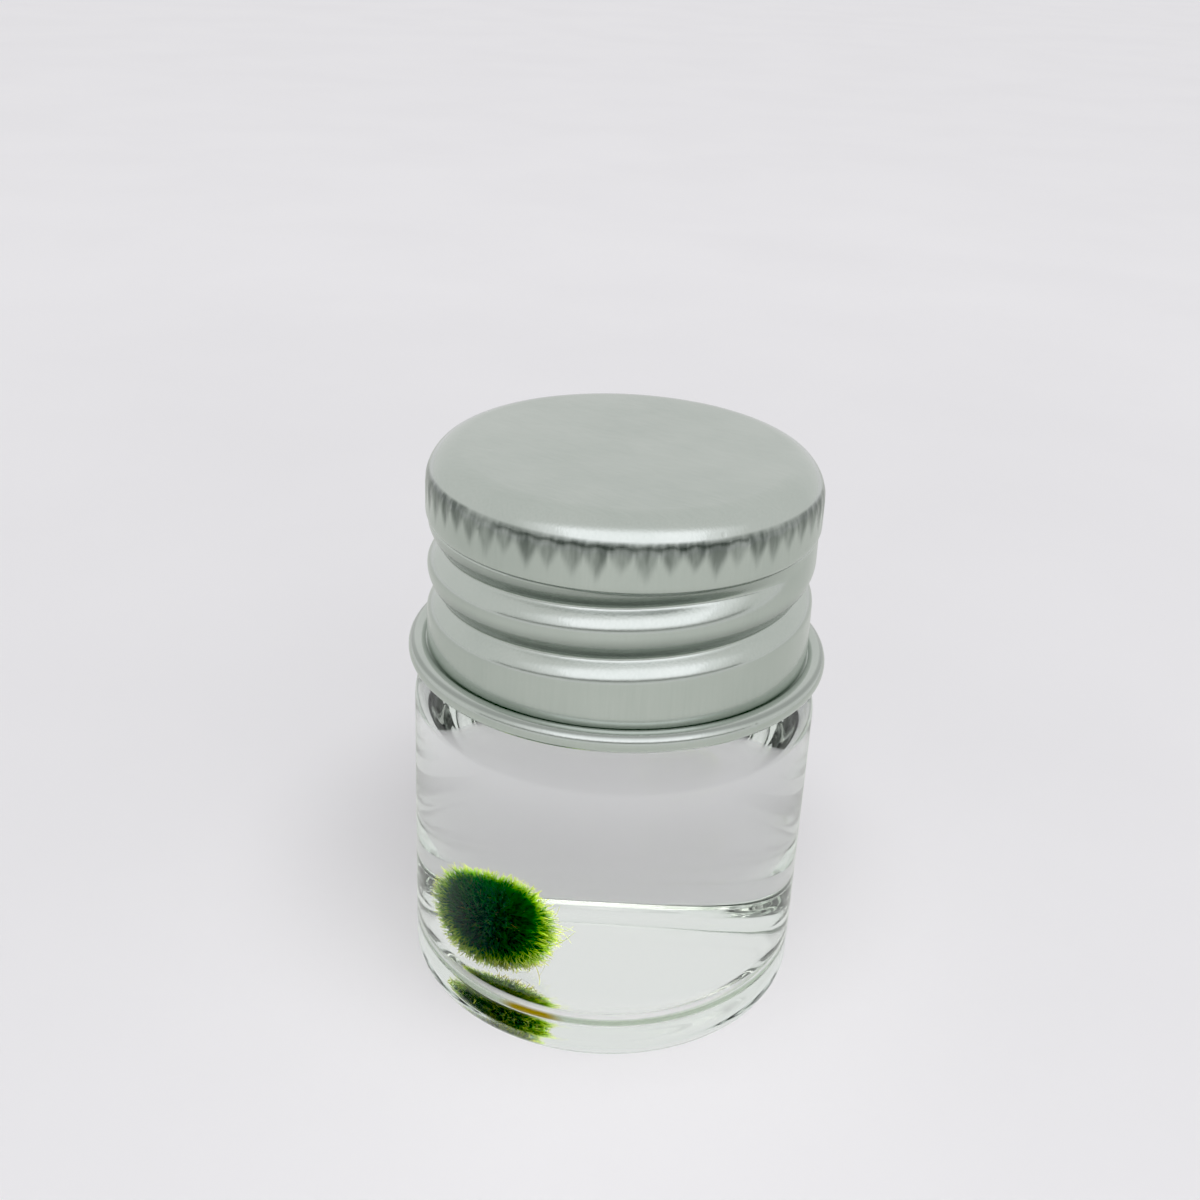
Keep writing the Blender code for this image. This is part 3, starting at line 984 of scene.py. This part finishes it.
@dataclass
class MossShape:
    """The ball's outer form, up to the tips of its threads, resting on the jar's floor.

    It is stretched along axis, loose threads stand out towards strays, and painted shade makes it darker
    towards shaded.
    """

    place: Point = (-4.70, -1.8)
    radius: float = 2.85
    stretch: float = 1.05
    axis: Vector = Vector((-0.45, 0.1, 0.88)).normalized()
    strays: Vector = Vector((0.93, -0.1, -0.35)).normalized()
    shaded: Vector = Vector((-0.16, -0.80, 0.58)).normalized()
    floor: float = 1.2

    def reach(self, way: Array) -> Array:
        """Gives the distance from the centre to the tips along each unit direction, strays left out."""
        lumps = 0.035 * np.sin(5.0 * way[:, 0] + 1.3) * np.cos(4.0 * way[:, 2] - 0.6)
        lumps += 0.03 * np.sin(6.0 * way[:, 1] - 2.0 * way[:, 2] + 0.4)
        along = way @ np.array(self.axis)
        stretch = 1.0 + (self.stretch - 1.0) * (2.0 * along * along - 0.6)
        return self.radius * (stretch + lumps)

    def centre(self) -> Array:
        """Gives the ball's centre, so high that its tips touch the floor."""
        down = float(self.reach(np.array([[0.0, 0.0, -1.0]]))[0])
        return np.array([self.place[0], self.place[1], self.floor + 0.97 * down])


@dataclass
class MossCore:
    """The dense dark inside of the ball."""

    shape: MossShape
    share: float = 0.78

    def build(self, finish: MossFinish) -> Piece:
        """Models the core as a lumpy, rough ball and dresses it.

        Args:
            finish: the moss.

        Returns:
            The finished piece.
        """
        Bench.clear()
        bpy.ops.mesh.primitive_ico_sphere_add(subdivisions=6, radius=MM)
        piece = Bench.named("moss_core")
        Bench.reshape(piece, self.swell)
        clouds = bpy.data.textures.new("moss_lumps", "CLOUDS")
        clouds.noise_scale = 0.16 * MM
        clouds.noise_depth = 2
        rough = piece.modifiers.new("lumps", "DISPLACE")
        rough.texture = clouds
        rough.texture_coords = "LOCAL"
        rough.strength = 0.28 * MM
        rough.mid_level = 0.6
        Bench.choose(piece)
        bpy.ops.object.modifier_apply(modifier="lumps")
        bpy.data.textures.remove(clouds)
        tone = np.random.default_rng(5).uniform(0.1, 0.8, len(piece.data.vertices))
        Bench.keep(piece, growth=np.zeros_like(tone), tone=tone)
        Bench.finish(piece, finish.make(), crease=180.0)
        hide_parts("moss_ball")
        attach(piece, "jar")
        return piece

    def swell(self, places: Array) -> Array:
        """Moves the points of a unit ball out to the core's surface."""
        way = places / np.linalg.norm(places, axis=1)[:, None]
        return self.shape.centre() + way * (self.share * self.shape.reach(way))[:, None]


@dataclass
class MossThreads:
    """A layer of threads that stand out from the core, joined into one mesh.

    root is where they start, as a share of the ball's reach, shortest and longest their lengths as shares of
    the room from there to the tips, and lean how far chance tilts them.
    """

    name: str
    shape: MossShape
    forms: Sequence[ThreadForm]
    count: int
    seed: int
    root: float
    shortest: float
    longest: float
    lean: float

    def ways(self, random: np.random.Generator) -> Array:
        """Spreads unit directions evenly over the ball, each a little out of place."""
        number = np.arange(self.count) + 0.5
        height = 1.0 - 2.0 * number / self.count
        turn = number * math.pi * (3.0 - math.sqrt(5.0))
        flat = np.sqrt(1.0 - height * height)
        way = np.column_stack((flat * np.cos(turn), flat * np.sin(turn), height))
        way += random.normal(0.0, 0.9 / math.sqrt(self.count), way.shape)
        return way / np.linalg.norm(way, axis=1)[:, None]

    def lengths(self, way: Array, random: np.random.Generator) -> Array:
        """Gives each thread's length in millimetres."""
        room = self.shape.reach(way) * (1.0 - self.root)
        return room * random.uniform(self.shortest, self.longest, len(way))

    def frames(self, way: Array, random: np.random.Generator) -> Array:
        """Gives each thread's turn matrix: upright along its direction, leaning and spun by chance."""
        upright = way + random.normal(0.0, self.lean, way.shape)
        upright /= np.linalg.norm(upright, axis=1)[:, None]
        other = random.normal(0.0, 1.0, way.shape)
        side = np.cross(upright, other)
        side /= np.linalg.norm(side, axis=1)[:, None]
        return np.stack((side, np.cross(upright, side), upright), axis=2)

    def build(self, finish: MossFinish) -> Piece:
        """Copies the modelled threads over the core, joins them and dresses the layer.

        Args:
            finish: the moss.

        Returns:
            The finished piece.
        """
        random = np.random.default_rng(self.seed)
        way = self.ways(random)
        length = self.lengths(way, random)
        turn = self.frames(way, random)
        root = self.shape.centre() + way * (self.root * self.shape.reach(way))[:, None]
        tone = random.uniform(0.0, 1.0, len(way))
        models = [ThreadModel(form).build() for form in self.forms]
        chosen = random.integers(0, len(models), len(way))
        places, faces, tones = [], [], []
        used = 0
        for number, (model, triangles) in enumerate(models):
            here = np.flatnonzero(chosen == number)
            copies = np.einsum("nij,vj->nvi", turn[here], model) * length[here, None, None]
            places.append((copies + root[here, None, :]).reshape(-1, 3))
            tones.append(np.repeat(tone[here], len(model)))
            steps = used + np.arange(len(here)) * len(model)
            faces.append((triangles[None, :, :] + steps[:, None, None]).reshape(-1, 3))
            used += len(here) * len(model)
        return self.join(np.concatenate(places), np.concatenate(faces), np.concatenate(tones), finish)

    def growth(self, places: Array) -> Array:
        """Gives how far out of the ball each place lies, 1 at the tips, lowered as painted shade on the shaded
        side.
        """
        away = places - self.shape.centre()
        far = np.linalg.norm(away, axis=1)
        way = away / far[:, None]
        ahead = way @ np.array(self.shape.shaded)
        out = np.clip((far / self.shape.reach(way) - 0.80) / 0.20, 0.0, 1.0)
        # Painted shade: threads are darker on the side towards shaded.
        return out * (1.0 - 0.62 * smooth((ahead - 0.30) / 0.5))

    def join(self, places: Array, faces: Array, tones: Array, finish: MossFinish) -> Piece:
        """Makes one object of all the copies.

        Args:
            places: every vertex in millimetres.
            faces: the vertex numbers of every triangle.
            tones: a chance value of each vertex's thread.
            finish: the moss.

        Returns:
            The dressed layer.
        """
        places[:, 2] = np.maximum(places[:, 2], self.shape.floor + 0.02)
        mesh = bpy.data.meshes.new(self.name)
        mesh.from_pydata((places * MM).tolist(), [], faces.tolist())
        piece = Bench.put(self.name, mesh)
        Bench.keep(piece, growth=self.growth(places), tone=tones)
        Bench.finish(piece, finish.make(), crease=80.0)
        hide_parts("moss_ball")
        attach(piece, "jar")
        return piece


@dataclass
class StrayThreads(MossThreads):
    """Long thin threads that have come loose from the ball on its right and underneath."""

    def ways(self, random: np.random.Generator) -> Array:
        """Spreads unit directions over the ball's right side, dense at its middle."""
        way = random.normal(0.0, 0.42, (self.count, 3)) + np.array(self.shape.strays)
        return way / np.linalg.norm(way, axis=1)[:, None]


@dataclass
class SealingDisc:
    """The liner in the cap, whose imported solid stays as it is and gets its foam."""

    node: Piece

    def dress(self, finish: FoamFinish) -> None:
        """Gives the disc its finish in every material slot."""
        material = finish.make()
        if not self.node.material_slots:
            self.node.data.materials.append(material)
        for slot in self.node.material_slots:
            slot.material = material


@dataclass
class PhotoCamera:
    """The camera, in millimetres and degrees, where the photograph was taken from."""

    distance: float = 96.26
    elevation: float = 37.625
    yaw: float = -0.77
    pitch: float = 25.417
    roll: float = 2.731
    lens: float = 46.743
    sensor: float = 36.0

    def build(self) -> Piece:
        """Makes the camera and gives it to the scene.

        Returns:
            The camera.
        """
        yaw, pitch, roll = (math.radians(each) for each in (self.yaw, self.pitch, self.roll))
        rise = math.radians(self.elevation)
        look = Vector((math.sin(yaw) * math.cos(pitch), math.cos(yaw) * math.cos(pitch), -math.sin(pitch)))
        level = look.cross(Vector((0.0, 0.0, 1.0))).normalized()
        upright = level.cross(look)
        right = level * math.cos(roll) + upright * math.sin(roll)
        top = upright * math.cos(roll) - level * math.sin(roll)
        data = bpy.data.cameras.new("photo_camera")
        data.lens = self.lens
        data.sensor_width = self.sensor
        data.clip_start = 1.0 * MM
        data.clip_end = 20.0
        camera = Bench.put("photo_camera", data)
        place = Vector((0.0, -math.cos(rise), math.sin(rise))) * self.distance * MM
        camera.matrix_world = Matrix.Translation(place) @ Matrix((right, top, -look)).transposed().to_4x4()
        bpy.context.scene.camera = camera
        return camera


@dataclass
class Softbox:
    """A soft lamp that faces the jar, in metres and degrees."""

    name: str
    azimuth: float
    elevation: float
    distance: float
    width: float
    height: float
    brightness: float
    on_matt: bool
    on_gloss: bool
    centre: float = 0.0

    def build(self, only: Sequence[Piece] = ()) -> Piece:
        """Makes the lamp, azimuth 0 behind the camera and 90 on its right.

        Args:
            only: the pieces that it lights and that shade each other, through the glass; all where empty.

        Returns:
            The lamp.
        """
        turn, rise = math.radians(self.azimuth), math.radians(self.elevation)
        way = Vector((math.sin(turn) * math.cos(rise), -math.cos(turn) * math.cos(rise), math.sin(rise)))
        data = bpy.data.lights.new(self.name, "AREA")
        data.shape = "RECTANGLE"
        data.size = self.width
        data.size_y = self.height
        data.energy = self.brightness * math.pi * self.width * self.height
        data.color = (1.0, 0.97, 1.08) if self.on_gloss and not only else (1.0, 1.0, 1.0)
        lamp = Bench.put(self.name, data)
        lamp.visible_camera = False
        lamp.visible_transmission = False
        lamp.visible_diffuse = self.on_matt
        lamp.visible_glossy = self.on_gloss
        lamp.location = way * self.distance + Vector((0.0, 0.0, self.centre))
        lamp.rotation_mode = "QUATERNION"
        lamp.rotation_quaternion = (-way).to_track_quat("-Z", "Y")
        if only:
            group = bpy.data.collections.new(self.name)
            for piece in only:
                group.objects.link(piece)
            lamp.light_linking.receiver_collection = group
            lamp.light_linking.blocker_collection = group
        return lamp


@dataclass
class Studio:
    """All that surrounds the object: the floor, two cards, the lamps, the room, the camera and the view."""

    surround: Colour = (0.78, 0.78, 0.78, 1.0)
    floor_size: float = 6.0
    floor_gap: float = 0.02
    black_level: tuple[float, float, float] = (0.027, 0.025, 0.027)

    def build(self, moss: Sequence[Piece], closure: Sequence[Piece]) -> None:
        """Makes everything round the object and sets how light is followed.

        Args:
            moss: the pieces of the moss ball, which get lamps of their own through the glass.
            closure: the cap and its disc, which get light from below.
        """
        floor = self.cut_card(FloorFinish("floor_card"), "studio_floor", (8, 8), self.lay_flat)
        self.hang_grey_cards()
        self.light_room()
        # Azimuth, elevation, distance, width, height, brightness, on matt, on gloss, centre.
        Softbox("foot_softbox", 0.0, 48.0, 0.032, 0.024, 0.016, 0.35, True, False).build((floor,))
        Softbox("front_softbox", 8.0, 44.0, 2.2, 3.0, 1.5, 0.38, False, True).build()
        Softbox("wide_softbox", 8.0, 46.5, 2.2, 4.4, 1.7, 0.16, False, True).build()
        Softbox("edge_softbox", 8.0, 49.0, 2.2, 6.0, 1.9, 0.12, False, True).build()
        Softbox("key_softbox", 14.0, 50.0, 0.22, 0.14, 0.14, 1.5, True, False).build()
        Softbox("moss_right_softbox", 118.0, 30.0, 0.30, 0.20, 0.20, 22.0, True, False).build(moss)
        Softbox("moss_left_softbox", -130.0, 30.0, 0.30, 0.20, 0.20, 9.0, True, False).build(moss)
        Softbox("moss_low_softbox", 120.0, -40.0, 0.30, 0.20, 0.20, 9.0, True, False).build(moss)
        Softbox("closure_softbox", 0.0, -90.0, 0.022, 0.014, 0.014, 5.0, True, True, 0.034).build(closure)
        PhotoCamera().build()
        view = bpy.context.scene.view_settings
        view.view_transform = "Standard"
        view.use_curve_mapping = True
        view.curve_mapping.black_level = self.black_level
        view.curve_mapping.update()
        light = bpy.context.scene.cycles
        light.max_bounces = 22
        light.transmission_bounces = 18
        light.glossy_bounces = 10
        light.diffuse_bounces = 4
        light.sample_clamp_indirect = 8.0
        light.blur_glossy = 0.5
        light.caustics_refractive = False
        light.caustics_reflective = False

    def cut_card(self, finish: PaperFinish, name: str, parts: tuple[int, int], move: Move) -> Piece:
        """Cuts a card that isn't part of the object, puts it in place and dresses it.

        Args:
            finish: the card's look.
            name: the card's name.
            parts: how many faces it has along its two sides.
            move: takes the flat card's vertices in millimetres and returns their new places.

        Returns:
            The card.
        """
        Bench.clear()
        bpy.ops.mesh.primitive_grid_add(x_subdivisions=parts[0], y_subdivisions=parts[1], size=1.0)
        card = Bench.named(name)
        Bench.reshape(card, move)
        Bench.finish(card, finish.make(), crease=30.0)
        return card

    def hang_grey_cards(self) -> None:
        """Hangs a grey card in front and lays another, of painted shade on the floor, round the foot, which
        only the metal's gloss shows.
        """
        grey = PaperFinish("grey_card", (0.23, 0.24, 0.23, 1.0), (0.20, 0.21, 0.20, 1.0))
        # The low card is painted shade on the floor round the foot, seen only in the metal's reflections.
        low = PaperFinish("floor_shade_card", (0.77, 0.78, 0.76, 1.0), (0.74, 0.75, 0.73, 1.0))
        for finish, parts, move in ((grey, (8, 2), self.stand_up), (low, (64, 4), self.lay_round)):
            card = self.cut_card(finish, finish.name, parts, move)
            Bench.let_light_in(card)
            card.visible_camera = False
            card.visible_transmission = False

    def lay_flat(self, places: Array) -> Array:
        """Widens the floor to its size and leaves an air gap of a hair under the jar."""
        return places * self.floor_size - np.array([0.0, 0.0, self.floor_gap])

    def stand_up(self, places: Array) -> Array:
        """Stands the grey card up, bent a little round the jar."""
        across = places[:, 0] / 500.0
        upwards = places[:, 1] / 500.0
        return np.column_stack((across * 260.0, -150.0 + 60.0 * across * across, 57.0 + upwards * 12.0))

    def lay_round(self, places: Array) -> Array:
        """Lays the low card as a ring round the jar's foot, its seam behind."""
        angle = FRONT + math.pi * places[:, 0] / 500.0
        radius = 12.0 + 95.0 * (1.0 + places[:, 1] / 500.0)
        return np.column_stack((radius * np.cos(angle), radius * np.sin(angle), np.full_like(radius, 0.4)))

    def light_room(self) -> None:
        """Lights the room evenly from all round."""
        world = bpy.data.worlds.new("pale_room")
        world.use_nodes = True
        world.node_tree.nodes["Background"].inputs["Color"].default_value = self.surround
        bpy.context.scene.world = world


def report(piece: Piece) -> None:
    """Logs a piece's name and its number of triangles."""
    triangles = sum(len(face.vertices) - 2 for face in piece.data.polygons)
    LOG.info("%s: %d triangles", piece.name, triangles)


def main() -> None:
    """Loads the frame and builds every piece in order, then the studio."""
    logging.basicConfig(level=logging.INFO, format="%(message)s")
    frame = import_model()
    tint = (0.45, 0.68, 0.50, 1.0)
    glass = ClearFinish("bottle_glass", ior=1.52, mirror=0.12, waves=0.012, tint=tint, density=26.0)
    water = ClearFinish("still_water", ior=1.333)
    jar = GlassJar()
    report(jar.build(glass))
    report(JarWater(jar).build(water))
    shape = MossShape()
    core = MossCore(shape).build(MossFinish("moss_core", 0.1))
    sizes = {"root": 0.73, "shortest": 0.42, "longest": 0.68, "lean": 0.30}
    thatch = MossThreads("moss_thatch", shape, PLAIN, count=6800, seed=11, **sizes)
    thatch = thatch.build(MossFinish("moss_thatch", 0.5))
    sizes = {"root": 0.80, "shortest": 0.70, "longest": 1.50, "lean": 0.36}
    fringe = MossThreads("moss_fringe", shape, BRANCHED, count=3600, seed=23, **sizes)
    fringe = fringe.build(MossFinish("moss_fringe", 0.66))
    sizes = {"root": 0.93, "shortest": 4.0, "longest": 7.5, "lean": 0.55}
    strays = StrayThreads("moss_strays", shape, HAIRS, count=26, seed=31, **sizes)
    strays = strays.build(MossFinish("moss_strays", 0.6))
    moss = (core, thatch, fringe, strays)
    for piece in moss:
        report(piece)
    cap = AluminiumCap().build(SatinAluminium())
    report(cap)
    disc = SealingDisc(frame["nodes"]["cap_liner"])
    disc.dress(FoamFinish())
    Studio().build(moss, (cap, disc.node))
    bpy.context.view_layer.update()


if __name__ == "__main__":
    main()
